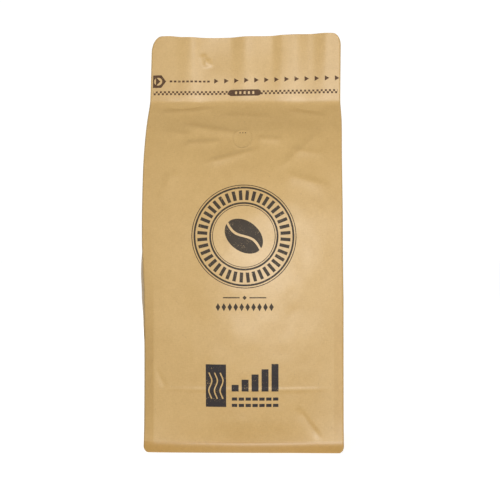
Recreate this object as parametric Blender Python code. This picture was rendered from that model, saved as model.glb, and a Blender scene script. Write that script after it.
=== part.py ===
"""A one-kilogram coffee pouch: kraft paper, flat bottom, eight seals, filled, shut and standing.

The pouch is one closed solid. It is built as level rings stacked from the floor to the top seal.
Each ring runs round the front panel, the right gusset, the back panel and the left gusset, and
round the four narrow seals that stand out sideways where the panels meet. Below the zipper the
gussets are open to the side: pushed out by the beans low down, folded inwards above them. Above
the zipper the panels lie flat together, so there the rings leave the gusset fold out, and a flat
roof closes it. Metres, +Z up, front towards -Y, origin at the middle of the base.
"""

import bmesh
import bpy
import numpy as np

# Driving dimensions.
HEIGHT = 0.3229  # the panels' full height, before the top edge is trimmed
PANEL_WIDTH = 0.150  # front and back panels, over their side seals
SEAL_WIDTH = 0.0075  # the seals that stand out along the four upright edges
SEAL_THICKNESS = 0.0009
GUSSET_WIDTH = 0.086  # side gusset, between its two seals, laid flat
SKIRT_HEIGHT = 0.0075  # the seal round the base, below the bottom panel's seam
SKIRT_FLARE = 0.0038  # how far that seal leans out under the gussets
FILL_HEIGHT = 0.170  # where the gussets start to fold inwards
ZIPPER_HEIGHT = 0.2665  # where the panels meet, under the stiff zipper
# Rounded corners as (width, height) of a quarter ellipse: top left, top right, base.
TOP_LEFT_CORNER = (0.0066, 0.0135)
TOP_RIGHT_CORNER = (0.0052, 0.0090)
BASE_CORNER = (0.0048, 0.0048)

# (height, half depth) of the front panel at its side seals.
SIDE_DEPTH = (
    (0.000, 0.0450),
    (SKIRT_HEIGHT, 0.0412),
    (0.030, 0.0402),
    (0.110, 0.0400),
    (FILL_HEIGHT, 0.0375),
    (0.205, 0.0310),
    (0.240, 0.0185),
    (0.259, 0.0068),
    (ZIPPER_HEIGHT, 0.0026),
    (0.270, 0.0018),
    (0.280, 0.0016),
    (HEIGHT, 0.0015),
)
# (height, how far the middle of the front panel stands out past its side seals).
PANEL_BULGE = (
    (0.000, 0.0000),
    (SKIRT_HEIGHT, 0.0010),
    (0.025, 0.0048),
    (0.075, 0.0096),
    (0.140, 0.0102),
    (0.190, 0.0082),
    (0.235, 0.0045),
    (ZIPPER_HEIGHT, 0.0003),
    (HEIGHT, 0.0000),
)
# (height, how far the pouch's middle stands to the right).
LEAN = (
    (0.000, 0.0000),
    (0.110, -0.0001),
    (0.160, -0.0012),
    (0.212, -0.0013),
    (0.262, -0.0001),
    (HEIGHT, 0.0008),
)
# (height, how far the panels' edges are pushed apart at each side).
SIDE_BOW = (
    (0.000, 0.0000),
    (0.120, 0.0001),
    (0.160, 0.0008),
    (0.250, 0.0011),
    (0.272, 0.0003),
    (HEIGHT, 0.0000),
)
# (height, how far the middle of a gusset is pushed out by the beans).
LEFT_BULGE = (
    (0.000, 0.0000),
    (SKIRT_HEIGHT, 0.0006),
    (0.030, 0.0058),
    (0.085, 0.0120),
    (0.130, 0.0140),
    (0.152, 0.0118),
    (FILL_HEIGHT, 0.0072),
    (0.198, 0.0000),
    (HEIGHT, 0.0000),
)
RIGHT_BULGE = (
    (0.000, 0.0000),
    (SKIRT_HEIGHT, 0.0006),
    (0.030, 0.0050),
    (0.085, 0.0090),
    (0.130, 0.0098),
    (FILL_HEIGHT, 0.0052),
    (0.198, 0.0000),
    (HEIGHT, 0.0000),
)
# (height, how far the tip of the front left seal is bent back).
LEFT_SEAL_BEND = (
    (0.000, 0.0004),
    (0.020, 0.0024),
    (0.060, 0.0036),
    (0.110, 0.0014),
    (0.180, 0.0002),
    (HEIGHT, 0.0000),
)
# (place across, how far the top edge lies below the pouch's full height).
TOP_EDGE = (
    (-0.075, 0.0016),
    (-0.062, 0.0014),
    (-0.050, 0.0026),
    (-0.030, 0.0032),
    (0.004, 0.0022),
    (0.040, 0.0010),
    (0.060, 0.0001),
    (0.075, 0.0004),
)
# (place across, how far the flat top waves forwards there).
TOP_WAVES = (
    (-0.075, 0.0004),
    (-0.056, -0.0010),
    (-0.043, 0.0016),
    (-0.033, -0.0006),
    (-0.013, -0.0014),
    (0.0005, 0.0015),
    (0.012, -0.0010),
    (0.029, 0.0010),
    (0.038, 0.0013),
    (0.052, -0.0013),
    (0.065, 0.0017),
    (0.075, 0.0014),
)
# Broad dents in the front panel: middle across, middle up, half width, half height, depth.
FRONT_DENTS = (
    (-0.026, 0.236, 0.030, 0.010, 0.0013),
    (0.014, 0.243, 0.022, 0.009, -0.0008),
    (0.044, 0.222, 0.026, 0.010, 0.0009),
    (-0.046, 0.104, 0.026, 0.030, 0.0009),
    (0.052, 0.030, 0.018, 0.022, 0.0006),
)

PANEL_COLUMNS = 21
GUSSET_COLUMNS = 13
LOWER_LEVELS = 38
UPPER_LEVELS = 9
KRAFT_PAPER = (0.624, 0.429, 0.202, 1.0)


def smooth_curve(stations, at):
    """A smooth curve through (place, value) stations that never overshoots between them."""
    places, values = np.array(stations).T
    gaps = np.diff(places)
    slopes = np.diff(values) / gaps
    before, after = slopes[:-1], slopes[1:]
    steady = before * after > 0
    total = np.where(steady, before + after, 1.0)
    inner = np.where(steady, 2 * before * after / total, 0.0)
    tangents = np.concatenate((slopes[:1], inner, slopes[-1:]))
    at = np.clip(at, places[0], places[-1])
    left = np.clip(np.searchsorted(places, at) - 1, 0, len(gaps) - 1)
    gap = gaps[left]
    along = (at - places[left]) / gap
    return (
        values[left] * (1 + 2 * along) * (1 - along) ** 2
        + values[left + 1] * along**2 * (3 - 2 * along)
        + tangents[left] * gap * along * (1 - along) ** 2
        - tangents[left + 1] * gap * along**2 * (1 - along)
    )


def edge(height, side):
    """From the middle to a side edge of the panels: half their width, bowed and rounded off."""
    top_width, top_height = TOP_LEFT_CORNER if side < 0 else TOP_RIGHT_CORNER
    base_width, base_height = BASE_CORNER
    top = np.clip((height - (HEIGHT - top_height)) / top_height, 0.0, 1.0)
    base = np.clip((base_height - height) / base_height, 0.0, 1.0)
    cut = top_width * (1 - np.sqrt(1 - top**2)) + base_width * (1 - np.sqrt(1 - base**2))
    return PANEL_WIDTH / 2 + smooth_curve(SIDE_BOW, height) - cut


def skirt_flare(height, share):
    """How far the seal under a gusset leans out: a straight edge, rounded off at its two ends."""
    return SKIRT_FLARE * max(1 - height / SKIRT_HEIGHT, 0.0) * (1 - np.abs(share) ** 6)


def dents(across, height):
    """Depth of the broad dents at a place on the front panel, each one a rounded hollow."""
    depth = np.zeros_like(across)
    for middle, level, half_width, half_height, hollow in FRONT_DENTS:
        reach = ((across - middle) / half_width) ** 2 + ((height - level) / half_height) ** 2
        depth += hollow * np.exp(-reach)
    return depth


def panel(height, side):
    """A panel's points at one height, from its left seal to its right: side is -1 in front."""
    share = np.linspace(-1.0, 1.0, PANEL_COLUMNS)
    left, right = edge(height, -1) - SEAL_WIDTH, edge(height, 1) - SEAL_WIDTH
    across = np.where(share < 0, left, right) * share
    crown = smooth_curve(PANEL_BULGE, height) * np.cos(share * np.pi / 2)
    out = smooth_curve(SIDE_DEPTH, height) + crown
    if side < 0:
        out = out - dents(across, height) * (1 - share**4)
    return np.stack((across, side * out, np.full_like(across, height)), axis=1)


def gusset(height, side):
    """A gusset's points at one height, from front to back: side is -1 at the left.

    The points run straight from seal to seal, moved out by the beans' bulge and, above the fill,
    in by the fold. The fold's depth follows from the gusset's own width, as the other short side
    of a right-angled triangle whose long side is half the gusset.
    """
    half_depth = smooth_curve(SIDE_DEPTH, height) - SEAL_THICKNESS
    share = np.linspace(-1.0, 1.0, GUSSET_COLUMNS)
    bulge = smooth_curve(LEFT_BULGE if side < 0 else RIGHT_BULGE, height) * (1 - share**2)
    bulge += skirt_flare(height, share)
    folded = np.sqrt(max((GUSSET_WIDTH / 2) ** 2 - half_depth**2, 0.0))
    eased = np.clip((height - FILL_HEIGHT) / 0.030, 0.0, 1.0)
    fold = folded * eased**2 * (3 - 2 * eased) * (1 - np.abs(share) ** 1.15)
    out = edge(height, side) - SEAL_WIDTH + bulge - fold
    return np.stack((side * out, half_depth * share, np.full_like(share, height)), axis=1)


def seal(height, x_side, y_side):
    """The two tip points of one upright seal, outer face first.

    A seal carries on from its panel as steeply as the panel's crown arrives at the seal's root.
    """
    root = PANEL_WIDTH / 2 - SEAL_WIDTH
    bend = smooth_curve(PANEL_BULGE, height) * np.pi / 2 / root * SEAL_WIDTH
    if x_side < 0 and y_side < 0:
        bend += smooth_curve(LEFT_SEAL_BEND, height)
    tip = x_side * edge(height, x_side)
    outer = smooth_curve(SIDE_DEPTH, height) - bend
    inner = outer - SEAL_THICKNESS
    return np.array([(tip, y_side * outer, height), (tip, y_side * inner, height)])


def ring(height, with_fold):
    """One level of the pouch as a closed ring of points, anticlockwise from above."""
    right, left = gusset(height, 1), gusset(height, -1)[::-1]
    if not with_fold:
        right, left = right[[0, -1]], left[[0, -1]]
    points = np.concatenate(
        (
            panel(height, -1),
            seal(height, 1, -1),
            right,
            seal(height, 1, 1)[::-1],
            panel(height, 1)[::-1],
            seal(height, -1, 1),
            left,
            seal(height, -1, -1)[::-1],
        )
    )
    across = points[:, 0].copy()
    flat_top = np.clip((height - ZIPPER_HEIGHT) / (HEIGHT - ZIPPER_HEIGHT), 0.0, 1.0)
    points[:, 0] += smooth_curve(LEAN, height)
    points[:, 1] -= smooth_curve(TOP_WAVES, across) * flat_top**0.7
    points[:, 2] -= smooth_curve(TOP_EDGE, across) * flat_top
    return points


def level_heights():
    """The levels' heights: close together at the skirt, the fold and both corners."""
    skirt = np.array([0.0, 0.0015, BASE_CORNER[1], SKIRT_HEIGHT, 0.0095, 0.013, 0.019])
    lower = np.linspace(0.027, ZIPPER_HEIGHT, LOWER_LEVELS - len(skirt))
    shoulder = HEIGHT - TOP_LEFT_CORNER[1]
    upper = np.linspace(ZIPPER_HEIGHT, shoulder, UPPER_LEVELS - 4)[1:]
    corner = TOP_LEFT_CORNER[1] * np.sin(np.radians((20, 40, 55, 70, 90)))
    return np.concatenate((skirt, lower)), np.concatenate((upper, shoulder + corner))


def stitch(mesh, below, above):
    """Quads between two rings with the same number of points."""
    for here in range(len(below)):
        after = (here + 1) % len(below)
        mesh.faces.new((below[here], below[after], above[after], above[here]))


def close_top(mesh, top):
    """Closes the top ring: quads from front panel to back, a fan at each end, a quad on each seal."""
    front_end = PANEL_COLUMNS - 1
    back_start = front_end + 7
    back_end = back_start + front_end
    for column in range(1, front_end - 1):
        behind = back_end - column
        mesh.faces.new((top[column], top[column + 1], top[behind - 1], top[behind]))
    for place in (front_end, front_end + 4, back_end, back_end + 4):
        mesh.faces.new([top[(place + step) % len(top)] for step in range(4)])
    for place in (front_end, back_end):
        fan = [top[(place + step) % len(top)] for step in (-1, 0, 3, 4, 7, 8)]
        for here, after in zip(fan[1:], fan[2:]):
            mesh.faces.new((fan[0], here, after))


def pouch_mesh():
    """The whole pouch as one closed mesh: rings, the roofs of the gussets' folds, base and top."""
    mesh = bmesh.new()
    lower_heights, upper_heights = level_heights()
    lower = [[mesh.verts.new(point) for point in ring(level, True)] for level in lower_heights]
    upper = [[mesh.verts.new(point) for point in ring(level, False)] for level in upper_heights]
    for below, above in zip(lower, lower[1:]):
        stitch(mesh, below, above)

    # The topmost lower ring, less the gussets' inner points, carries the flat top.
    last = lower[-1]
    right = PANEL_COLUMNS + 2
    left = right + GUSSET_COLUMNS + PANEL_COLUMNS + 4
    flat = [
        point
        for place, point in enumerate(last)
        if not (right < place < right + GUSSET_COLUMNS - 1 or left < place < left + GUSSET_COLUMNS - 1)
    ]
    mesh.faces.new(last[right : right + GUSSET_COLUMNS])
    mesh.faces.new(last[left : left + GUSSET_COLUMNS])
    for below, above in zip([flat, *upper], upper):
        stitch(mesh, below, above)

    mesh.faces.new(lower[0][::-1])
    close_top(mesh, upper[-1])
    bmesh.ops.triangulate(mesh, faces=mesh.faces[:])
    bmesh.ops.recalc_face_normals(mesh, faces=mesh.faces[:])
    return mesh


def centre_over_origin(mesh):
    """Moves the pouch sideways so that the middle of its outline is at x = 0, y = 0."""
    points = np.array([vertex.co for vertex in mesh.verts])
    middle = (points.min(axis=0) + points.max(axis=0)) / 2
    for vertex in mesh.verts:
        vertex.co.x -= middle[0]
        vertex.co.y -= middle[1]


def kraft_material():
    """Unbleached kraft paper with a thin satin film."""
    material = bpy.data.materials.new("kraft_paper")
    material.use_nodes = True
    shader = material.node_tree.nodes["Principled BSDF"]
    shader.inputs["Base Color"].default_value = KRAFT_PAPER
    shader.inputs["Roughness"].default_value = 0.55
    shader.inputs["Metallic"].default_value = 0.0
    return material


def main():
    for thing in list(bpy.data.objects):
        bpy.data.objects.remove(thing, do_unlink=True)
    mesh = pouch_mesh()
    centre_over_origin(mesh)
    data = bpy.data.meshes.new("pouch")
    mesh.to_mesh(data)
    mesh.free()
    data.materials.append(kraft_material())
    pouch = bpy.data.objects.new("pouch", data)
    bpy.context.scene.collection.objects.link(pouch)


main()
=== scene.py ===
"""Looks of a one-kilogram coffee pouch: kraft paper, flat bottom, eight seals, filled and shut.

The pouch is five paper sheets, each worked out on a grid over its own flat shape: a place across
the sheet and a place up it. The printed front panel and the plain back panel carry the upright
seals as their margins, each gusset is one sheet from seal to seal, and the bottom panel hangs
between the skirts. Creases, ridges and dents are named places on the sheets. Every sheet keeps
its flat places as an attribute, which the paper's grain and the print follow.
"""

import math

import bpy
import numpy as np
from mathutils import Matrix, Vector


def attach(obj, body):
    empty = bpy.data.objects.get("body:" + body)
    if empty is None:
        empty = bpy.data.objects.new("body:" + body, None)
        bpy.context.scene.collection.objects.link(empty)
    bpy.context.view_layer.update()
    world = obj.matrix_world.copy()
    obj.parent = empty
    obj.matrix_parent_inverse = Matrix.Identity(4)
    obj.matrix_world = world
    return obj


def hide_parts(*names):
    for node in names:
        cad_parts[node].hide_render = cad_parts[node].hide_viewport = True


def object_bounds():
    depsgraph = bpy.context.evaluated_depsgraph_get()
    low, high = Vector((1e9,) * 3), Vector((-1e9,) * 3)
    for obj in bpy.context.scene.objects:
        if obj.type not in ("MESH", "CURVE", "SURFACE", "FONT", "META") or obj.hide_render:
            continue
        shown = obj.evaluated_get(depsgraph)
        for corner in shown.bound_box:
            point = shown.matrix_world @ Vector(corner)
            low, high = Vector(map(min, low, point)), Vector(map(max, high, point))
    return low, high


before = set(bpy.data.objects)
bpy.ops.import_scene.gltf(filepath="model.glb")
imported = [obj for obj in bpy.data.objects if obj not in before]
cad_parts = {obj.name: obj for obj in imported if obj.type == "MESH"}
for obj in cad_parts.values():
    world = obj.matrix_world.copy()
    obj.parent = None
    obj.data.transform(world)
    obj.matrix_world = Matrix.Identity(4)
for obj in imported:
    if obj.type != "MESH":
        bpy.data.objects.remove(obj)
cad_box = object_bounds()

# ---------------------------------------------------------------- sizes, in metres

HEIGHT = cad_box[1].z + 0.0001  # the panels' full height, before the top edge is trimmed
PANEL_WIDTH = 0.150
SEAL_WIDTH = 0.0075
ROOT = PANEL_WIDTH / 2 - SEAL_WIDTH  # from the middle of a panel to the root of its seal
PAPER = 0.00024  # thickness of the laminated paper
FOOT = 0.00014  # height of the sheets' outer lower edge; the inner one then meets the floor
GUSSET_WIDTH = 0.086
SKIRT_HEIGHT = 0.0075
SKIRT_FLARE = 0.0038
FILL_HEIGHT = 0.170
ZIPPER_HEIGHT = 0.2665
TOP_SEAL_HEIGHT = HEIGHT - 0.011
GRID = 0.00125  # spacing of the sheets' points

# (height, half depth) of the front panel at the roots of its seals.
SIDE_DEPTH = (
    (0.000, 0.0450),
    (SKIRT_HEIGHT, 0.0412),
    (0.030, 0.0402),
    (0.110, 0.0400),
    (FILL_HEIGHT, 0.0375),
    (0.205, 0.0310),
    (0.240, 0.0185),
    (0.259, 0.0068),
    (ZIPPER_HEIGHT, 0.0023),
    (0.269, 0.0015),
    (0.285, 0.0012),
    (TOP_SEAL_HEIGHT, 0.0007),
    (HEIGHT, 0.0006),
)
# (height, how far the middle of a panel stands out past its seals).
PANEL_BULGE = (
    (0.000, 0.0000),
    (SKIRT_HEIGHT, 0.0010),
    (0.025, 0.0044),
    (0.075, 0.0087),
    (0.140, 0.0102),
    (0.190, 0.0084),
    (0.235, 0.0045),
    (ZIPPER_HEIGHT, 0.0003),
    (HEIGHT, 0.0000),
)
# (height, how far the pouch's middle stands to the right).
LEAN = (
    (0.000, 0.0000),
    (0.110, -0.0001),
    (0.160, -0.0012),
    (0.212, -0.0013),
    (0.262, -0.0001),
    (HEIGHT, 0.0008),
)
# (height, how far the panels' edges are pushed apart at each side).
SIDE_BOW = (
    (0.000, 0.0000),
    (0.120, 0.0001),
    (0.160, 0.0008),
    (0.250, 0.0011),
    (0.272, 0.0003),
    (HEIGHT, 0.0000),
)
# (height, how far the middle of a gusset is pushed out by the beans).
LEFT_BULGE = (
    (0.000, 0.0000),
    (SKIRT_HEIGHT, 0.0006),
    (0.030, 0.0058),
    (0.085, 0.0120),
    (0.130, 0.0140),
    (0.152, 0.0118),
    (FILL_HEIGHT, 0.0072),
    (0.198, 0.0000),
    (HEIGHT, 0.0000),
)
RIGHT_BULGE = (
    (0.000, 0.0000),
    (SKIRT_HEIGHT, 0.0006),
    (0.030, 0.0050),
    (0.085, 0.0090),
    (0.130, 0.0098),
    (FILL_HEIGHT, 0.0052),
    (0.198, 0.0000),
    (HEIGHT, 0.0000),
)
# (height, how far the tip of the front left seal is bent back).
LEFT_SEAL_BEND = (
    (0.000, 0.0004),
    (0.020, 0.0022),
    (0.060, 0.0031),
    (0.110, 0.0012),
    (0.180, 0.0002),
    (HEIGHT, 0.0000),
)
# (place across, how far the top edge lies below the pouch's full height).
TOP_EDGE = (
    (-0.075, 0.0016),
    (-0.062, 0.0014),
    (-0.050, 0.0026),
    (-0.030, 0.0032),
    (0.004, 0.0022),
    (0.040, 0.0010),
    (0.060, 0.0001),
    (0.075, 0.0004),
)
# (place across, how far the flat top waves forwards there).
TOP_WAVES = (
    (-0.075, -0.0020),
    (-0.066, -0.0015),
    (-0.056, -0.0007),
    (-0.043, 0.0015),
    (-0.033, -0.0006),
    (-0.022, -0.0011),
    (-0.013, -0.0014),
    (0.0005, 0.0013),
    (0.015, -0.0009),
    (0.020, -0.0011),
    (0.029, 0.0010),
    (0.038, 0.0013),
    (0.052, -0.0013),
    (0.065, 0.0017),
    (0.075, 0.0014),
)
# Rounded corners as (width, height) of a quarter ellipse: top left, top right, base.
TOP_LEFT_CORNER = (0.0080, 0.0135)
TOP_RIGHT_CORNER = (0.0066, 0.0095)
BASE_CORNER = (0.0048, 0.0048)

FOLD_SKEW = 2.2  # how much gentler a fold falls off below than above
# Folds and ridges: start and end on the sheet, height (below 0 a valley), half width.
FRONT_FOLDS = (
    ((-0.068, 0.2590), (-0.024, 0.2625), 0.0016, 0.0018),
    ((0.036, 0.2605), (0.068, 0.2550), 0.0015, 0.0020),
    ((-0.047, 0.2490), (-0.004, 0.2405), 0.0019, 0.0022),
    ((-0.046, 0.2330), (-0.016, 0.2345), 0.0014, 0.0018),
    ((-0.028, 0.2172), (0.012, 0.2280), 0.0014, 0.0019),
    ((0.028, 0.2130), (0.060, 0.2430), 0.0015, 0.0034),
    ((0.032, 0.2090), (0.068, 0.1985), 0.0018, 0.0034),
    ((0.010, 0.2370), (0.030, 0.2362), 0.0012, 0.0018),
    ((0.036, 0.2280), (0.066, 0.2240), 0.0010, 0.0024),
    ((-0.064, 0.2440), (-0.040, 0.2400), 0.0010, 0.0022),
    ((-0.020, 0.2570), (0.022, 0.2550), 0.0009, 0.0020),
    ((-0.062, 0.1880), (-0.052, 0.2120), 0.0009, 0.0030),
    ((-0.066, 0.0630), (-0.058, 0.0480), -0.0011, 0.0013),
    ((0.041, 0.0330), (0.058, 0.0100), -0.0010, 0.0013),
    ((-0.074, 0.0475), (0.074, 0.0475), 0.00042, 0.0007),
    ((-0.0335, 0.3090), (-0.0300, 0.2985), 0.0010, 0.0011),
    ((-0.0300, 0.3050), (-0.0270, 0.2990), 0.0006, 0.0010),
)
BACK_FOLDS = (
    ((-0.062, 0.2570), (-0.012, 0.2500), 0.0016, 0.0030),
    ((0.018, 0.2440), (0.064, 0.2560), 0.0015, 0.0032),
    ((-0.052, 0.2290), (-0.016, 0.2130), 0.0015, 0.0036),
    ((0.004, 0.2210), (0.050, 0.2090), 0.0014, 0.0036),
    ((-0.074, 0.0475), (0.074, 0.0475), 0.0005, 0.0010),
    ((-0.057, 0.0100), (-0.040, 0.0340), -0.0010, 0.0018),
    ((0.066, 0.0700), (0.055, 0.0500), -0.0010, 0.0016),
)
GUSSET_FOLDS = (
    ((0.0, 0.0490), (-0.041, 0.0090), 0.0005, 0.0012),
    ((0.0, 0.0490), (0.041, 0.0090), 0.0005, 0.0012),
    ((0.0, 0.0490), (0.0, 0.1650), 0.0008, 0.0014),
    ((0.0, 0.1980), (-0.040, 0.1630), 0.0009, 0.0022),
    ((0.0, 0.1980), (0.040, 0.1660), 0.0009, 0.0022),
    ((-0.040, 0.2050), (-0.018, 0.1860), -0.0008, 0.0018),
    ((0.040, 0.2100), (0.016, 0.1830), -0.0008, 0.0018),
)
# Broad soft dents: middle across, middle up, half width, half height, depth.
FRONT_DENTS = (
    (-0.046, 0.2650, 0.021, 0.0052, 0.0011),
    (0.050, 0.2630, 0.019, 0.0052, 0.0010),
    (-0.026, 0.236, 0.030, 0.010, 0.0013),
    (0.014, 0.243, 0.022, 0.009, -0.0008),
    (0.044, 0.222, 0.026, 0.010, 0.0009),
    (-0.046, 0.104, 0.026, 0.030, 0.0009),
    (0.052, 0.030, 0.018, 0.022, 0.0006),
)
BACK_DENTS = (
    (0.022, 0.232, 0.030, 0.011, 0.0013),
    (-0.040, 0.205, 0.022, 0.012, 0.0009),
    (0.040, 0.110, 0.028, 0.034, 0.0008),
)
VALVE = (-0.0004, 0.2362)  # middle of the degassing valve behind the paper
VALVE_RADIUS = 0.0074
VALVE_RELIEF = 0.00060
BROAD_SIZE, BROAD_RISE = 0.021, 0.00034  # the paper's broad unevenness
BEAN_SIZE, BEAN_RISE = 0.0075, 0.00010  # single beans that press against the paper
BOTTOM_TURN = 0.0065  # how wide the bottom panel's turned-up edge is
BOTTOM_RISE = SKIRT_HEIGHT - 0.0012

# ---------------------------------------------------------------- curves and relief


def smooth_curve(stations, at):
    """A smooth curve through (place, value) stations that never overshoots between them."""
    places, values = np.array(stations).T
    gaps = np.diff(places)
    slopes = np.diff(values) / gaps
    before, after = slopes[:-1], slopes[1:]
    steady = before * after > 0
    total = np.where(steady, before + after, 1.0)
    inner = np.where(steady, 2 * before * after / total, 0.0)
    tangents = np.concatenate((slopes[:1], inner, slopes[-1:]))
    at = np.clip(at, places[0], places[-1])
    left = np.clip(np.searchsorted(places, at) - 1, 0, len(gaps) - 1)
    gap = gaps[left]
    along = (at - places[left]) / gap
    return (
        values[left] * (1 + 2 * along) * (1 - along) ** 2
        + values[left + 1] * along**2 * (3 - 2 * along)
        + tangents[left] * gap * along * (1 - along) ** 2
        - tangents[left + 1] * gap * along**2 * (1 - along)
    )


def ease(start, end, at):
    """0 before start, 1 after end, and a smooth S between them."""
    share = np.clip((at - start) / (end - start), 0.0, 1.0)
    return share * share * (3 - 2 * share)


def fold_relief(folds, across, up):
    """Height of the folds: each is a soft ridge along a line, highest halfway and fading out.

    The place along the line gives the fade, and the distance from it a bell-shaped section that
    is FOLD_SKEW times as wide on the side right of the line's direction as on the other.
    """
    height = np.zeros_like(across)
    for (start_x, start_y), (end_x, end_y), rise, half_width in folds:
        length = math.hypot(end_x - start_x, end_y - start_y)
        unit_x, unit_y = (end_x - start_x) / length, (end_y - start_y) / length
        along = ((across - start_x) * unit_x + (up - start_y) * unit_y) / length
        away = (across - start_x) * unit_y - (up - start_y) * unit_x
        fade = ease(-0.08, 0.22, along) * (1 - ease(0.78, 1.08, along))
        reach = np.where(away > 0, half_width * FOLD_SKEW, half_width)
        height += rise * fade * np.exp(-np.abs(away / reach) ** 1.6)
    return height


def dent_relief(dents, across, up):
    """Depth of the broad dents, each a rounded hollow."""
    depth = np.zeros_like(across)
    for middle, level, half_width, half_height, hollow in dents:
        reach = ((across - middle) / half_width) ** 2 + ((up - level) / half_height) ** 2
        depth += hollow * np.exp(-reach)
    return depth


def soft_noise(across, up, size, seed):
    """Smooth noise from -1 to 1: random values on a lattice, blended by an S curve each way."""
    lattice = np.random.default_rng(seed).uniform(-1.0, 1.0, (256, 256))
    place_x, place_y = across / size + 100.0, up / size + 100.0
    cell_x, cell_y = np.floor(place_x).astype(int), np.floor(place_y).astype(int)
    part_x, part_y = place_x - cell_x, place_y - cell_y
    part_x = part_x * part_x * (3 - 2 * part_x)
    part_y = part_y * part_y * (3 - 2 * part_y)
    cell_x, cell_y = cell_x % 255, cell_y % 255
    low = lattice[cell_y, cell_x] * (1 - part_x) + lattice[cell_y, cell_x + 1] * part_x
    high = lattice[cell_y + 1, cell_x] * (1 - part_x) + lattice[cell_y + 1, cell_x + 1] * part_x
    return low * (1 - part_y) + high * part_y


def paper_relief(across, up, seed):
    """The paper's slight unevenness over the beans: two sizes of soft noise."""
    broad = soft_noise(across, up, BROAD_SIZE, seed)
    bean = soft_noise(across, up, BEAN_SIZE, seed + 1)
    filled = ease(0.0, 0.02, up) * (1 - ease(0.19, 0.25, up))
    return BROAD_RISE * broad + BEAN_RISE * bean * filled


def valve_relief(across, up):
    """The valve pressed into the paper from behind: a round rim, and a lower plate inside it."""
    away = np.hypot(across - VALVE[0], up - VALVE[1])
    rim = np.exp(-(((away - VALVE_RADIUS) / 0.0011) ** 2))
    plate = 1 - ease(VALVE_RADIUS - 0.0008, VALVE_RADIUS + 0.0012, away)
    return VALVE_RELIEF * (0.55 * plate + 0.45 * rim)


def corner_cut(height, side):
    """How much a sheet is narrowed at one side by its rounded corners: 1 - root(1 - t squared)."""
    top_width, top_height = TOP_LEFT_CORNER if side < 0 else TOP_RIGHT_CORNER
    base_width, base_height = BASE_CORNER
    top = np.clip((height - (HEIGHT - top_height)) / top_height, 0.0, 1.0)
    base = np.clip((base_height - height) / base_height, 0.0, 1.0)
    cut = top_width * (1 - np.sqrt(1 - top**2))
    return cut + base_width * (1 - np.sqrt(1 - base**2))


def levels():
    """The heights of the sheets' rows: even, but closer together round the corners."""
    turn = np.sin(np.radians(np.linspace(0, 90, 9)))
    base = BASE_CORNER[1] + (FOOT - BASE_CORNER[1]) * turn[::-1]
    top = HEIGHT - TOP_RIGHT_CORNER[1] * (1 - turn)
    rows = round((top[0] - base[-1]) / GRID)
    return np.concatenate((base[:-1], np.linspace(base[-1], top[0], rows + 1), top[1:]))


# ---------------------------------------------------------------- the sheets' shapes


def flat_top(height):
    """0 up to the zipper and 1 at the top edge."""
    return np.clip((height - ZIPPER_HEIGHT) / (HEIGHT - ZIPPER_HEIGHT), 0.0, 1.0)


def settle(x, y, z):
    """Leans, waves and trims finished points the same way on every sheet."""
    waved = y - smooth_curve(TOP_WAVES, x) * flat_top(z) ** 0.8
    trimmed = z - smooth_curve(TOP_EDGE, x) * flat_top(z)
    return x + smooth_curve(LEAN, z), waved, trimmed


def seal_turn(height):
    """How far a seal's tip lies behind its root: it carries on as steep as the crown ends."""
    return smooth_curve(PANEL_BULGE, height) * math.pi / 2 / ROOT * SEAL_WIDTH


def margin_grid():
    """Places across a panel: even steps, with a line of points at each seal's root."""
    seal = np.linspace(ROOT, PANEL_WIDTH / 2, 7)
    body = np.linspace(-ROOT, ROOT, 2 * round(ROOT / GRID) + 1)
    return np.concatenate((-seal[:0:-1], body, seal[1:]))


def panel(side):
    """A front (side -1) or back (side 1) panel as x, y, z grids and its flat places.

    Out from the middle of the pouch a panel lies at its seals' half depth, plus a crown that
    follows a cosine from seal to seal, plus the relief of folds and dents.
    """
    across, height = np.meshgrid(margin_grid(), levels())
    share = np.clip(np.abs(across) / ROOT, 0.0, 1.0)
    depth = smooth_curve(SIDE_DEPTH, height)
    crown = smooth_curve(PANEL_BULGE, height) * np.cos(share * math.pi / 2)
    inside = 1 - share**6
    folds = FRONT_FOLDS if side < 0 else BACK_FOLDS
    dents = FRONT_DENTS if side < 0 else BACK_DENTS
    relief = fold_relief(folds, across, height) - dent_relief(dents, across, height)
    relief += paper_relief(across, height, 11 if side < 0 else 23)
    if side < 0:
        relief += valve_relief(across, height)
    out = depth + crown + relief * inside
    seal = np.clip((np.abs(across) - ROOT) / SEAL_WIDTH, 0.0, 1.0)
    if side < 0:
        out -= np.where(across < 0, smooth_curve(LEFT_SEAL_BEND, height), 0.0) * seal
    out -= seal_turn(height) * seal
    # In the middle of the top seal no gusset lies between the panels, so they meet there.
    closed = ease(ZIPPER_HEIGHT + 0.020, TOP_SEAL_HEIGHT, height)
    out -= (depth - PAPER) * closed * (1 - ease(0.022, 0.034, np.abs(across)))
    cut_left, cut_right = corner_cut(height, -1), corner_cut(height, 1)
    cut = np.where(across < 0, cut_left, cut_right) - smooth_curve(SIDE_BOW, height)
    trimmed = across * (1 - cut / (PANEL_WIDTH / 2))
    x, y, z = settle(trimmed, side * out, height)
    return x, y, z, across, height


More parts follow.
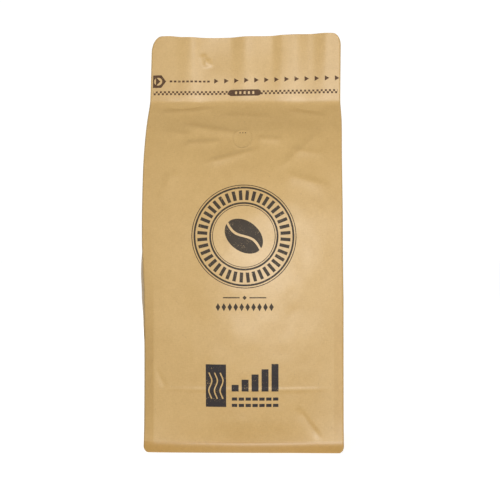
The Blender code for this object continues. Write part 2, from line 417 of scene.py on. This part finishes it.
def gusset(side):
    """A left (side -1) or right (side 1) gusset, seals included, as grids and its flat places.

    Between its seals it runs from front to back, pushed out by the beans low down and folded in
    above them. The fold's depth is the other short side of a right-angled triangle whose long
    side is half the gusset. Its seals lie against the panels' seals.
    """
    half = GUSSET_WIDTH / 2
    body = np.linspace(-half, half, 2 * round(half / GRID) + 1)
    seal = np.linspace(half, half + SEAL_WIDTH, 7)
    across, height = np.meshgrid(np.concatenate((-seal[:0:-1], body, seal[1:])), levels())
    share = np.clip(across / half, -1.0, 1.0)
    depth = smooth_curve(SIDE_DEPTH, height) - PAPER * 2.05
    bulge = smooth_curve(LEFT_BULGE if side < 0 else RIGHT_BULGE, height) * (1 - share**2)
    bulge += smooth_curve(SIDE_BOW, height)
    flare = np.clip(1 - height / SKIRT_HEIGHT, 0.0, 1.0)
    bulge += SKIRT_FLARE * flare * (1 - np.abs(share) ** 6)
    folded = np.sqrt(np.maximum(half**2 - depth**2, 0.0))
    fold = folded * ease(FILL_HEIGHT, FILL_HEIGHT + 0.030, height) * (1 - np.abs(share) ** 1.15)
    filled = 1 - ease(0.205, 0.235, height)
    relief = fold_relief(GUSSET_FOLDS, across, height)
    relief += 1.3 * paper_relief(across, height, 37 if side < 0 else 53)
    relief *= filled * (1 - share**6)
    pinch = 1 + 5 * ease(0.225, ZIPPER_HEIGHT, height)
    from_back = np.sign(share) * (1 - (1 - np.abs(share)) ** pinch)
    margin = np.clip((np.abs(across) - half) / SEAL_WIDTH, 0.0, 1.0)
    cut = corner_cut(height, side)
    out = ROOT + bulge - fold + relief + margin * SEAL_WIDTH - cut * margin
    y = depth * from_back - np.sign(share) * seal_turn(height) * margin
    if side < 0:
        y = y + np.where(across < 0, smooth_curve(LEFT_SEAL_BEND, height), 0.0) * margin
    x, y, z = settle(side * out, y, height)
    return x, y, z, across, height


def bottom():
    """The bottom panel: flat on the surface, turned up to the seam at the skirts all round.

    The rise is a quarter ellipse over the last few millimetres before the seam.
    """
    half_x, half_y = ROOT - 0.0004, SIDE_DEPTH[1][1] - 0.0006
    share_x = np.sin(np.linspace(-1, 1, 91) * math.pi / 2)
    share_y = np.sin(np.linspace(-1, 1, 61) * math.pi / 2)
    across, deep = np.meshgrid(half_x * share_x, half_y * share_y)
    to_edge = np.minimum(half_x - np.abs(across), half_y - np.abs(deep))
    curl = np.clip(1 - to_edge / BOTTOM_TURN, 0.0, 1.0)
    rise = BOTTOM_RISE * (1 - np.sqrt(1 - curl**2))
    crease = 0.0007 * np.exp(-((deep / 0.0016) ** 2)) * (1 - curl)
    return across, deep, rise + crease, across, deep


# ---------------------------------------------------------------- meshes


def sheet_mesh(name, grids, outward):
    """One paper sheet: a quad mesh over the grids, its faces turned so that they point outward."""
    x, y, z, across, up = grids
    rows, columns = x.shape
    index = np.arange(rows * columns).reshape(rows, columns)
    quads = np.stack(
        (index[:-1, :-1], index[:-1, 1:], index[1:, 1:], index[1:, :-1]), axis=-1
    ).reshape(-1, 4)
    points = np.stack((x, y, z), axis=-1).reshape(-1, 3)
    first = points[quads[len(quads) // 2]]
    facing = np.cross(first[1] - first[0], first[3] - first[0])
    if np.dot(facing, outward) < 0:
        quads = quads[:, ::-1]
    mesh = bpy.data.meshes.new(name)
    mesh.from_pydata(points.tolist(), [], quads.tolist())
    mesh.attributes.new("flat", "FLOAT_VECTOR", "POINT")
    places = np.stack((across, up, np.zeros_like(up)), axis=-1).reshape(-1, 3)
    mesh.attributes["flat"].data.foreach_set("vector", places.ravel())
    mesh.polygons.foreach_set("use_smooth", np.ones(len(mesh.polygons), bool))
    mesh.update()
    return mesh


def centred(sheets):
    """All sheets moved so that the middle of their common outline stands at x = 0, y = 0."""
    lows = np.array([[grids[0].min(), grids[1].min()] for grids in sheets.values()]).min(axis=0)
    highs = np.array([[grids[0].max(), grids[1].max()] for grids in sheets.values()]).max(axis=0)
    middle = (lows + highs) / 2
    return {
        name: (grids[0] - middle[0], grids[1] - middle[1], *grids[2:])
        for name, grids in sheets.items()
    }


def paper_piece(name, grids, outward, material):
    """A sheet with the paper's thickness on its inner side, riding on the pouch's one body."""
    piece = bpy.data.objects.new(name, sheet_mesh(name, grids, outward))
    bpy.context.scene.collection.objects.link(piece)
    piece.data.materials.append(material)
    wall = piece.modifiers.new("paper", "SOLIDIFY")
    wall.thickness = PAPER
    wall.offset = -1.0
    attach(piece, "root")
    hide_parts("pouch")
    return piece


# ---------------------------------------------------------------- shader building


def add(tree, kind, inputs=None, **settings):
    """Adds a node with its settings; each input is linked if it is a socket, or else set."""
    made = tree.nodes.new(kind)
    for name, value in settings.items():
        setattr(made, name, value)
    for place, value in (inputs or {}).items():
        socket = made.inputs[place]
        if isinstance(value, bpy.types.NodeSocket):
            tree.links.new(value, socket)
        else:
            socket.default_value = value
    return made


def maths(tree, operation, *values, clamp=False):
    """One Math node's result."""
    made = add(tree, "ShaderNodeMath", dict(enumerate(values)), operation=operation)
    made.use_clamp = clamp
    return made.outputs[0]


def ramp(tree, value, low, high, to_low=0.0, to_high=1.0):
    """A value carried from one range to another, held at the ends."""
    inputs = {"Value": value, "From Min": low, "From Max": high}
    inputs.update({"To Min": to_low, "To Max": to_high})
    return add(tree, "ShaderNodeMapRange", inputs).outputs["Result"]


def noise(tree, place, scale, detail=2.0, roughness=0.5, stretch=None):
    """A noise value round 0.5; stretch is how many times finer it is along each axis."""
    if stretch:
        place = add(tree, "ShaderNodeMapping", {"Vector": place, "Scale": stretch}).outputs[0]
    inputs = {"Vector": place, "Scale": scale, "Detail": detail, "Roughness": roughness}
    return add(tree, "ShaderNodeTexNoise", inputs).outputs["Fac"]


def mix_colour(tree, share, first, second, blend="MIX"):
    """Two colours blended by a share."""
    inputs = {0: share, 6: first, 7: second}
    made = add(tree, "ShaderNodeMix", inputs, data_type="RGBA", blend_type=blend)
    return made.outputs[2]


def new_group(name, inputs, outputs):
    """An empty shader node group with named sockets, its tree, and its input node's outputs."""
    group = bpy.data.node_groups.new(name, "ShaderNodeTree")
    for socket, kind in inputs.items():
        group.interface.new_socket(name=socket, in_out="INPUT", socket_type=kind)
    for socket, kind in outputs.items():
        group.interface.new_socket(name=socket, in_out="OUTPUT", socket_type=kind)
    return group, group.nodes.new("NodeGroupInput").outputs


def use_group(tree, group, inputs):
    """Places a node group in a tree and returns its outputs."""
    made = add(tree, "ShaderNodeGroup", node_tree=group)
    for name, value in inputs.items():
        if isinstance(value, bpy.types.NodeSocket):
            tree.links.new(value, made.inputs[name])
        else:
            made.inputs[name].default_value = value
    return made.outputs


def give(tree, results):
    """Links a group's results to its output sockets by name."""
    end = tree.nodes.new("NodeGroupOutput")
    for name, value in results.items():
        tree.links.new(value, end.inputs[name])


VALUE, VECTOR = "NodeSocketFloat", "NodeSocketVector"
LONG_FIBRES, CROSS_FIBRES = (1500.0, 320.0, 1.0), (380.0, 1300.0, 1.0)  # how fine, each way
FLECK_SPREAD = (900.0, 520.0, 1.0)
CLOUD_SCALE, MOTTLE_SCALE = 26.0, 150.0
CLOUD_SHARE, MOTTLE_SHARE, FIBRE_SHARE = 0.35, 0.32, 0.9  # how much each changes the tone
EDGE_SCALE, GAP_SCALE, PATCH_SCALE = 900.0, 1300.0, 160.0
EDGE_WANDER = 0.00016  # how far the ink's edge strays


def kraft_group():
    """Kraft paper's grain: long fibres both ways, fine flecks, and broad cloudy tone."""
    outputs = {"Tone": VALUE, "Flecks": VALUE, "Grain": VALUE}
    tree, given = new_group("kraft_grain", {"Place": VECTOR}, outputs)
    place = given["Place"]
    long_fibres = noise(tree, place, 1.0, 3.0, 0.6, LONG_FIBRES)
    cross_fibres = noise(tree, place, 1.0, 2.0, 0.6, CROSS_FIBRES)
    fibres = maths(tree, "MULTIPLY", maths(tree, "ADD", long_fibres, cross_fibres), 0.5)
    clouds = noise(tree, place, CLOUD_SCALE, 3.0, 0.55)
    mottle = noise(tree, place, MOTTLE_SCALE, 3.0, 0.6)
    tone = 0.5
    for layer, share in ((clouds, CLOUD_SHARE), (mottle, MOTTLE_SHARE), (fibres, FIBRE_SHARE)):
        tone = maths(tree, "MULTIPLY_ADD", maths(tree, "SUBTRACT", layer, 0.5), share, tone)
    spots = noise(tree, place, 1.0, 1.0, 0.5, FLECK_SPREAD)
    flecks = ramp(tree, spots, 0.68, 0.80)
    give(tree, {"Tone": tone, "Flecks": flecks, "Grain": fibres})
    return tree


def seal_shade_group():
    """Painted shade on the paper: the skirt all along, and the side seals most of all low down."""
    tree, given = new_group("painted_seal_shade", {"Place": VECTOR, "Root": VALUE}, {"SealShade": VALUE})
    split = add(tree, "ShaderNodeSeparateXYZ", {0: given["Place"]}).outputs
    skirt = ramp(tree, split[1], SKIRT_HEIGHT + 0.0003, SKIRT_HEIGHT - 0.0003)
    past = maths(tree, "SUBTRACT", maths(tree, "ABSOLUTE", split[0]), given["Root"])
    side = ramp(tree, past, 0.0, 0.0006)
    low = ramp(tree, split[1], 0.125, 0.075, 0.06, 0.32)
    give(tree, {"SealShade": maths(tree, "MAXIMUM", skirt, maths(tree, "MULTIPLY", side, low))})
    return tree


def ink_wear_group():
    """Printed ink on rough paper: a wandering edge and small pale gaps where it didn't take."""
    tree, given = new_group("ink_wear", {"Place": VECTOR}, {"Edge": VALUE, "Cover": VALUE})
    wander = maths(tree, "SUBTRACT", noise(tree, given["Place"], EDGE_SCALE, 2.0, 0.6), 0.5)
    gaps = noise(tree, given["Place"], GAP_SCALE, 3.0, 0.65)
    patches = noise(tree, given["Place"], PATCH_SCALE, 2.0, 0.5)
    worn = maths(tree, "MULTIPLY_ADD", maths(tree, "SUBTRACT", patches, 0.5), 0.35, gaps)
    edge = maths(tree, "MULTIPLY", wander, EDGE_WANDER)
    give(tree, {"Edge": edge, "Cover": ramp(tree, worn, 0.74, 0.63)})
    return tree


class Drawing:
    """Flat shapes on a sheet as signed distances in metres, below 0 inside the ink."""

    def __init__(self, tree, across, up):
        self.tree, self.across, self.up = tree, across, up

    def do(self, operation, *values):
        """One Math node's result in the drawing's tree."""
        return maths(self.tree, operation, *values)

    def moved(self, across, up, slope=0.0):
        """The same sheet seen from another middle, with its rows following a slope."""
        x = self.do("SUBTRACT", self.across, across)
        y = self.do("SUBTRACT", self.up, up)
        if slope:
            y = self.do("MULTIPLY_ADD", x, -slope, y)
        return Drawing(self.tree, x, y)

    def turned(self, angle):
        """The sheet turned about its middle, in radians."""
        sine, cosine = math.sin(angle), math.cos(angle)
        x = self.do("MULTIPLY_ADD", self.up, sine, self.do("MULTIPLY", self.across, cosine))
        y = self.do("MULTIPLY_ADD", self.across, -sine, self.do("MULTIPLY", self.up, cosine))
        return Drawing(self.tree, x, y)

    def repeated(self, pitch, shift=0.0):
        """The sheet repeated across, each copy's middle a pitch from the next."""
        x = self.do("ADD", self.across, shift)
        x = self.do("SUBTRACT", self.do("FLOORED_MODULO", x, pitch), pitch / 2)
        return Drawing(self.tree, x, self.up)

    def radius(self):
        """The distance from the middle."""
        up_squared = self.do("MULTIPLY", self.up, self.up)
        return self.do("SQRT", self.do("MULTIPLY_ADD", self.across, self.across, up_squared))

    def ring(self, radius, width):
        """A ring of a width about a radius."""
        away = self.do("ABSOLUTE", self.do("SUBTRACT", self.radius(), radius))
        return self.do("SUBTRACT", away, width / 2)

    def disc(self, radius):
        """A full round about the middle."""
        return self.do("SUBTRACT", self.radius(), radius)

    def bar(self, half_width, half_height):
        """A rectangle about the middle."""
        x = self.do("SUBTRACT", self.do("ABSOLUTE", self.across), half_width)
        y = self.do("SUBTRACT", self.do("ABSOLUTE", self.up), half_height)
        return self.do("MAXIMUM", x, y)

    def capsule(self, half_width, half_height):
        """A bar with round ends."""
        x = self.do("SUBTRACT", self.do("ABSOLUTE", self.across), half_width - half_height)
        end = Drawing(self.tree, self.do("MAXIMUM", x, 0.0), self.up)
        return end.disc(half_height)

    def diamond(self, half_width, half_height):
        """A lozenge: the sum of the shares across and up, less one."""
        x = self.do("DIVIDE", self.do("ABSOLUTE", self.across), half_width)
        y = self.do("DIVIDE", self.do("ABSOLUTE", self.up), half_height)
        total = self.do("SUBTRACT", self.do("ADD", x, y), 1.0)
        return self.do("MULTIPLY", total, min(half_width, half_height) * 0.7)

    def arrow(self, length, half_height):
        """A solid triangle that points right."""
        back = self.do("SUBTRACT", self.do("MULTIPLY", self.across, -1.0), length / 2)
        share = half_height / length
        tip = self.do("MULTIPLY_ADD", self.across, share, self.do("ABSOLUTE", self.up))
        return self.do("MAXIMUM", back, self.do("SUBTRACT", tip, half_height / 2))

    def both(self, first, second):
        """Where two shapes overlap."""
        return self.do("MAXIMUM", first, second)

    def either(self, *shapes):
        """All the shapes together."""
        joined = shapes[0]
        for shape in shapes[1:]:
            joined = self.do("MINIMUM", joined, shape)
        return joined

    def less(self, shape, hole):
        """A shape with a hole cut out of it."""
        return self.do("MAXIMUM", shape, self.do("MULTIPLY", hole, -1.0))


def valve_rim_group():
    """The valve's rim as a height: a bell-shaped ring round a slightly sunken plate."""
    tree, given = new_group("valve_rim", {"Place": VECTOR}, {"Rim": VALUE})
    split = add(tree, "ShaderNodeSeparateXYZ", {0: given["Place"]}).outputs
    here = Drawing(tree, split[0], split[1]).moved(*VALVE)
    rim = ramp(tree, here.ring(VALVE_RADIUS, 0.0), 0.0015, 0.0)
    plate = ramp(tree, here.disc(VALVE_RADIUS), 0.0012, -0.0012)
    smooth = maths(tree, "MULTIPLY", rim, rim)
    give(tree, {"Rim": maths(tree, "MULTIPLY_ADD", plate, -0.9, smooth)})
    return tree


# ---------------------------------------------------------------- the print

# Middles of the prints as (across, up), and their sizes.
BADGE, BADGE_RADIUS = (0.0016, 0.1614), 0.0384
OUTER_RINGS = ((1.0, 0.0006), (0.95, 0.0014))  # (share of the badge's radius, ring's width)
INNER_RINGS = ((0.645, 0.0014), (0.60, 0.0005))
TICKS, TICKS_AT = 40, 0.80
TICK_WIDTH, TICK_LENGTH = 0.0025, 0.0074
BEAN_TURN, BEAN_RADIUS, BEAN_SLIMNESS = math.radians(-38), 0.0112, 0.72
SEAM_WAVE, SEAM_SWING, SEAM_WIDTH = 210.0, 0.0021, 0.0018
RULE, RULE_HALF, RULE_GAP = (0.0012, 0.1158), (0.0160, 0.00042), 0.0036
LOZENGES, LOZENGE_PITCH, LOZENGE_HALF = (0.0012, 0.1088), 0.0044, (0.0017, 0.0030)
BLOCK, BLOCK_HALF = (-0.0203, 0.0502), (0.0076, 0.0160)
WAVE_TURNS, WAVE_SWING, WAVE_PITCH = 420.0, 0.0011, 0.0042
BARS, BAR_PITCH, BAR_WIDTH = (-0.0060, 0.0460), 0.0074, 0.0052
FIRST_BAR, BAR_RISE = 0.0050, 0.0039
DASH_ROWS, DASH_PITCH, DASH_HALF = ((0.0088, 0.0403), (0.0088, 0.0355)), 0.0051, (0.0020, 0.0012)
TAB, TAB_HALF, TAB_POINT = (-0.0680, 0.2855), (0.0053, 0.0052), 0.75
WINDOW_SHIFT, WINDOW_RADIUS, WINDOW_ARROW = -0.0012, 0.0032, 0.0036
ARROWS, ARROW_SLOPE, ARROW_PITCH = (-0.0229, 0.2862), 0.011, 0.00794
ARROW_LENGTH, ARROW_HALF_HEIGHT = 0.0036, 0.0021
ARROWS_MIDDLE, ARROWS_HALF = 0.0477, 0.0500
PIPS, PIP_PITCH, PIP_HALF = (-0.0212, -0.0002), 0.0033, (0.0010, 0.0008)
CHECKS, CHECK_SLOPE, CHECK_SIZE = (0.0, 0.2763), 0.006, 0.00163
CAPSULE, CAPSULE_HALF = (-0.0004, -0.0001), (0.0130, 0.0026)
MARK_PITCH, MARK_HALF = 0.0034, (0.0008, 0.0011)
PINHOLES, PINHOLE_PITCH, PINHOLE_RADIUS = 3, 0.0021, 0.00042
TALL = 0.004  # half height of the windows that cut rows off at their ends
INK_EDGE = 0.00007  # half the width over which ink fades out


def badge_shapes(sheet):
    """A round badge: two rings, a crown of ticks, two inner rings and one coffee bean."""
    here = sheet.moved(*BADGE)
    radius = here.radius()
    pitch = 2 * math.pi / TICKS
    angle = here.do("FLOORED_MODULO", here.do("ARCTAN2", here.up, here.across), pitch)
    beside = here.do("MULTIPLY", here.do("SUBTRACT", angle, pitch / 2), radius)
    outward = here.do("SUBTRACT", radius, BADGE_RADIUS * TICKS_AT)
    ticks = Drawing(here.tree, beside, outward).bar(TICK_WIDTH / 2, TICK_LENGTH / 2)
    turned = here.turned(BEAN_TURN)
    slim = here.do("MULTIPLY", turned.across, BEAN_SLIMNESS)
    body = Drawing(here.tree, slim, turned.up).disc(BEAN_RADIUS)
    swing = here.do("SINE", here.do("MULTIPLY", turned.across, SEAM_WAVE))
    seam = here.do("ABSOLUTE", here.do("MULTIPLY_ADD", swing, -SEAM_SWING, turned.up))
    bean = here.less(body, here.do("SUBTRACT", seam, SEAM_WIDTH / 2))
    rings = [here.ring(BADGE_RADIUS * share, width) for share, width in OUTER_RINGS + INNER_RINGS]
    return here.either(*rings, ticks, bean)


def divider_shapes(sheet):
    """Under the badge: a broken rule with a small lozenge in it, and a bolder row of lozenges."""
    rule = sheet.moved(*RULE)
    line = rule.less(rule.bar(*RULE_HALF), rule.bar(RULE_GAP, TALL))
    row = sheet.moved(*LOZENGES)
    lozenges = row.repeated(LOZENGE_PITCH).diamond(*LOZENGE_HALF)
    ten = row.bar(5 * LOZENGE_PITCH, TALL)
    return sheet.either(line, rule.diamond(0.0016, 0.0016), row.both(lozenges, ten))


def mark_shapes(sheet):
    """Near the base: a tall block with three pale waves, and a strength scale of five bars."""
    block = sheet.moved(*BLOCK)
    swing = block.do("SINE", block.do("MULTIPLY", block.up, WAVE_TURNS))
    waved = block.do("MULTIPLY_ADD", swing, -WAVE_SWING, block.across)
    waves = Drawing(block.tree, waved, block.up)
    lines = waves.repeated(WAVE_PITCH, WAVE_PITCH / 2).bar(0.0005, 1.0)
    pale = waves.both(lines, waves.bar(WAVE_PITCH * 4 / 3, 0.0098))
    shapes = [block.less(block.bar(*BLOCK_HALF), pale)]
    for place in range(5):
        tall = FIRST_BAR + BAR_RISE * place
        bar = sheet.moved(BARS[0] + BAR_PITCH * place, BARS[1] + tall / 2)
        shapes.append(bar.bar(BAR_WIDTH / 2, tall / 2))
    for middle in DASH_ROWS:
        row = sheet.moved(*middle)
        dashes = row.repeated(DASH_PITCH, DASH_PITCH / 2).bar(DASH_HALF[0], 1.0)
        shapes.append(row.both(dashes, row.bar(0.0178, DASH_HALF[1])))
    return sheet.either(*shapes)


def tab_shape(sheet):
    """The pull tab: a block that points right, with a round window and an arrow in it."""
    tab = sheet.moved(*TAB)
    slant = tab.do("MULTIPLY_ADD", tab.do("ABSOLUTE", tab.up), TAB_POINT, tab.across)
    pointed = tab.both(tab.bar(*TAB_HALF), tab.do("SUBTRACT", slant, TAB_HALF[1]))
    window = tab.moved(WINDOW_SHIFT, 0.0)
    arrow = window.arrow(WINDOW_ARROW, WINDOW_ARROW)
    return tab.less(pointed, window.less(window.disc(WINDOW_RADIUS), arrow))


def arrow_row(sheet):
    """A line of small dashes, then a row of arrows that point right, out to the far edge."""
    row = sheet.moved(*ARROWS, ARROW_SLOPE)
    arrow = row.repeated(ARROW_PITCH, ARROW_PITCH / 2).arrow(ARROW_LENGTH, ARROW_HALF_HEIGHT)
    arrows = row.both(arrow, row.moved(ARROWS_MIDDLE, 0.0).bar(ARROWS_HALF, TALL))
    start = row.moved(*PIPS)
    pips = start.both(start.repeated(PIP_PITCH).bar(*PIP_HALF), start.bar(5 * PIP_PITCH, TALL))
    return row.either(arrows, pips)


def check_strip(sheet):
    """Two rows of checks from seal to seal, the lower one a step behind the upper."""
    strip = sheet.moved(*CHECKS, CHECK_SLOPE)
    half = CHECK_SIZE / 2
    upper = strip.moved(0.0, half).repeated(2 * CHECK_SIZE).bar(half, half)
    lower = strip.moved(0.0, -half).repeated(2 * CHECK_SIZE, CHECK_SIZE).bar(half, half)
    return strip.both(strip.either(upper, lower), strip.bar(0.0728, TALL))


def zipper_shapes(sheet):
    """Along the zipper: a pull tab, arrows, checks, and a capsule with a row of pale marks."""
    plate = sheet.moved(*CHECKS, CHECK_SLOPE).moved(*CAPSULE)
    mark = plate.repeated(MARK_PITCH, MARK_PITCH / 2).bar(*MARK_HALF)
    marks = plate.both(mark, plate.bar(0.0093, TALL))
    dark = sheet.either(check_strip(sheet), plate.capsule(*CAPSULE_HALF))
    return sheet.either(tab_shape(sheet), arrow_row(sheet), sheet.less(dark, marks))


def pinhole_shapes(sheet):
    """The valve's pinholes, in a short row near its upper rim."""
    row = sheet.moved(VALVE[0], VALVE[1] + VALVE_RADIUS * 0.7)
    hole = row.repeated(PINHOLE_PITCH, PINHOLE_PITCH / 2).disc(PINHOLE_RADIUS)
    return row.both(hole, row.bar(PINHOLE_PITCH * PINHOLES / 2, TALL))


def print_group(name, shapes):
    """A node group that draws one print on the sheet's flat places, with worn ink."""
    tree, given = new_group(name, {"Place": VECTOR, "Edge": VALUE, "Cover": VALUE}, {"Ink": VALUE})
    split = add(tree, "ShaderNodeSeparateXYZ", {0: given["Place"]}).outputs
    distance = shapes(Drawing(tree, split[0], split[1]))
    mask = ramp(tree, maths(tree, "ADD", distance, given["Edge"]), INK_EDGE, -INK_EDGE)
    give(tree, {"Ink": maths(tree, "MULTIPLY", mask, given["Cover"])})
    return tree


# ---------------------------------------------------------------- materials

KRAFT_DARK = (0.450, 0.270, 0.080, 1.0)
KRAFT_LIGHT = (0.672, 0.453, 0.184, 1.0)
FLECK_BROWN = (0.300, 0.170, 0.070, 1.0)
SEAL_SHADE_TINT = (0.86, 0.77, 0.52, 1.0)  # painted shade: the paper's colour is multiplied by it in the seals
STRIP_INK = (0.080, 0.038, 0.018, 1.0)
BADGE_INK = (0.040, 0.030, 0.022, 1.0)
MARK_INK = (0.022, 0.020, 0.024, 1.0)
INK_FILM = 0.08  # how much of the paper's satin film shows over ink
FILM_ROUGHNESS, FILM_IOR = 0.40, 1.62
PAPER_SHINE = 0.22
GRAIN_RELIEF, RIM_RELIEF = 0.00012, 0.0005  # heights of the fibres and of the valve's rim


def kraft_material(name, groups, root, prints=()):
    """Kraft paper under a thin satin film, with painted shade that deepens its tone in the seals.

    The root is how far from the sheet's middle its seals begin, or 0 on a sheet without seals;
    prints are (node group, ink colour) laid over the paper.
    """
    material = bpy.data.materials.new(name)
    material.use_nodes = True
    tree = material.node_tree
    shader = tree.nodes["Principled BSDF"]
    place = add(tree, "ShaderNodeAttribute", attribute_name="flat").outputs["Vector"]
    grain = use_group(tree, groups["kraft"], {"Place": place})
    colour = mix_colour(tree, grain["Tone"], KRAFT_DARK, KRAFT_LIGHT)
    colour = mix_colour(tree, maths(tree, "MULTIPLY", grain["Flecks"], 0.35), colour, FLECK_BROWN)
    if root:
        # painted shade: a tint darkens the skirt and the side seals, most of all low down
        seal_shade = use_group(tree, groups["seal_shade"], {"Place": place, "Root": root})["SealShade"]
        colour = mix_colour(tree, seal_shade, colour, SEAL_SHADE_TINT, "MULTIPLY")
    rough = ramp(tree, grain["Tone"], 0.2, 0.8, 0.52, 0.62)
    film = ramp(tree, grain["Grain"], 0.3, 0.7, 0.72, 0.86)
    wear = use_group(tree, groups["wear"], {"Place": place}) if prints else None
    for group, ink in prints:
        given = {"Place": place, "Edge": wear["Edge"], "Cover": wear["Cover"]}
        mask = use_group(tree, group, given)["Ink"]
        colour = mix_colour(tree, maths(tree, "MULTIPLY", mask, 0.98), colour, ink)
        film = maths(tree, "MULTIPLY", film, ramp(tree, mask, 0.0, 1.0, 1.0, INK_FILM))
        rough = maths(tree, "MULTIPLY_ADD", mask, 0.12, rough)
    tree.links.new(film, shader.inputs["Coat Weight"])
    tree.links.new(colour, shader.inputs["Base Color"])
    tree.links.new(rough, shader.inputs["Roughness"])
    inputs = {"Strength": 0.35, "Distance": GRAIN_RELIEF, "Height": grain["Grain"]}
    if prints:
        rim = use_group(tree, groups["valve"], {"Place": place})["Rim"]
        pressed_rim = {"Strength": 0.6, "Distance": RIM_RELIEF, "Height": rim}
        inputs["Normal"] = add(tree, "ShaderNodeBump", pressed_rim).outputs[0]
    bump = add(tree, "ShaderNodeBump", inputs)
    tree.links.new(bump.outputs[0], shader.inputs["Normal"])
    shader.inputs["Specular IOR Level"].default_value = PAPER_SHINE
    shader.inputs["Coat Roughness"].default_value = FILM_ROUGHNESS
    shader.inputs["Coat IOR"].default_value = FILM_IOR
    return material


# ---------------------------------------------------------------- studio

FLOOR_REACH = 12.0
FLOOR_PAINT = (0.62, 0.62, 0.62, 1.0)
WHITE = (1.0, 1.0, 1.0, 1.0)
FLOOR_GLOW = 0.76
SKY_SIDE, SKY_TOP = 0.84, 0.36
SKY_FRONT, SKY_BACK = 1.00, 0.85
SKY_SEEN = 1.05  # how bright the surround is to the camera
FRONT_WATTS = 12.2
BACK_WATTS = 12.0
CAMERA_AIM, CAMERA_HEIGHT = 0.0064, 0.1511  # the camera looks at this place across, level
CAMERA_DISTANCE, CAMERA_TURN = 0.718, math.radians(1.3)
SENSOR_WIDTH, LENS = 36.0, 65.1  # in millimetres


def area_light(name, place, target, width, height, watts):
    """A soft rectangular light at a place, facing a target."""
    data = bpy.data.lights.new(name, "AREA")
    data.shape, data.size, data.size_y, data.energy = "RECTANGLE", width, height, watts
    light = bpy.data.objects.new(name, data)
    bpy.context.scene.collection.objects.link(light)
    light.location = place
    aim = Vector(target) - Vector(place)
    light.rotation_euler = aim.to_track_quat("-Z", "Y").to_euler()


def floor_material():
    """White floor that the camera sees as pale as the surround, but that lights nothing else."""
    paint = bpy.data.materials.new("floor_white")
    paint.use_nodes = True
    tree = paint.node_tree
    shader = tree.nodes["Principled BSDF"]
    shader.inputs["Base Color"].default_value = FLOOR_PAINT
    shader.inputs["Roughness"].default_value = 0.9
    shader.inputs["Specular IOR Level"].default_value = 0.0
    shader.inputs["Emission Color"].default_value = WHITE
    seen = add(tree, "ShaderNodeLightPath").outputs["Is Camera Ray"]
    tree.links.new(maths(tree, "MULTIPLY", seen, FLOOR_GLOW), shader.inputs["Emission Strength"])
    return paint


def surround():
    """White to the camera; to the pouch it is bright at the sides and front, and dimmer above."""
    world = bpy.data.worlds.new("surround")
    world.use_nodes = True
    tree = world.node_tree
    shine = tree.nodes["Background"]
    shine.inputs["Color"].default_value = WHITE
    direction = add(tree, "ShaderNodeTexCoord").outputs["Generated"]
    axes = add(tree, "ShaderNodeSeparateXYZ", {0: direction}).outputs
    level = ramp(tree, axes[2], 0.0, 0.7, SKY_SIDE, SKY_TOP)
    front = ramp(tree, axes[1], -1.0, 1.0, SKY_FRONT, SKY_BACK)
    seen = add(tree, "ShaderNodeLightPath").outputs["Is Camera Ray"]
    light = maths(tree, "MULTIPLY", level, front)
    strength = add(tree, "ShaderNodeMix", {0: seen, 2: light, 3: SKY_SEEN}).outputs[0]
    tree.links.new(strength, shine.inputs["Strength"])
    bpy.context.scene.world = world


def studio():
    """A pale floor that reaches out of sight, an even white surround and soft frontal light."""
    mesh = bpy.data.meshes.new("floor")
    turns = ((-1, -1), (1, -1), (1, 1), (-1, 1))
    corners = [(FLOOR_REACH * x, FLOOR_REACH * y, 0.0) for x, y in turns]
    mesh.from_pydata(corners, [], [(0, 1, 2, 3)])
    floor = bpy.data.objects.new("floor", mesh)
    bpy.context.scene.collection.objects.link(floor)
    mesh.materials.append(floor_material())
    surround()
    area_light("front_softbox", (0.20, -1.40, 0.28), (0.0, 0.0, 0.16), 0.8, 0.36, FRONT_WATTS)
    area_light("back_softbox", (-0.95, 1.25, 0.85), (0.0, 0.0, 0.15), 0.9, 0.9, BACK_WATTS)
    bpy.context.scene.view_settings.view_transform = "Standard"


def camera():
    """The camera, level, in front of the pouch and a little to its right."""
    data = bpy.data.cameras.new("camera")
    data.sensor_width, data.lens = SENSOR_WIDTH, LENS
    eye = bpy.data.objects.new("camera", data)
    bpy.context.scene.collection.objects.link(eye)
    side = CAMERA_AIM + CAMERA_DISTANCE * math.sin(CAMERA_TURN)
    eye.location = (side, -CAMERA_DISTANCE * math.cos(CAMERA_TURN), CAMERA_HEIGHT)
    eye.rotation_euler = (math.pi / 2, 0.0, CAMERA_TURN)
    data.clip_start = 0.01
    bpy.context.scene.camera = eye


# ---------------------------------------------------------------- the pouch


def pouch():
    """The five sheets, each with its paper, as the pouch's pieces."""
    groups = {
        "kraft": kraft_group(),
        # this group paints shade into the skirt and the side seals
        "seal_shade": seal_shade_group(),
        "valve": valve_rim_group(),
        "wear": ink_wear_group(),
    }
    prints = (
        (print_group("zipper_print", zipper_shapes), STRIP_INK),
        (print_group("badge_print", badge_shapes), BADGE_INK),
        (print_group("divider_print", divider_shapes), BADGE_INK),
        (print_group("mark_print", mark_shapes), MARK_INK),
        (print_group("valve_pinholes", pinhole_shapes), STRIP_INK),
    )
    plain = kraft_material("kraft_plain", groups, ROOT)
    folded = kraft_material("kraft_folded", groups, GUSSET_WIDTH / 2)
    papers = {
        "front_panel": kraft_material("kraft_printed", groups, ROOT, prints),
        "back_panel": plain,
        "gusset_left": folded,
        "gusset_right": folded,
        "bottom_panel": kraft_material("kraft_bottom", groups, 0.0),
    }
    sheets = centred(
        {
            "front_panel": panel(-1),
            "back_panel": panel(1),
            "gusset_left": gusset(-1),
            "gusset_right": gusset(1),
            "bottom_panel": bottom(),
        }
    )
    outward = {
        "front_panel": (0, -1, 0),
        "back_panel": (0, 1, 0),
        "gusset_left": (-1, 0, 0),
        "gusset_right": (1, 0, 0),
        "bottom_panel": (0, 0, -1),
    }
    for name, grids in sheets.items():
        paper_piece(name, grids, outward[name], papers[name])


pouch()
studio()
camera()
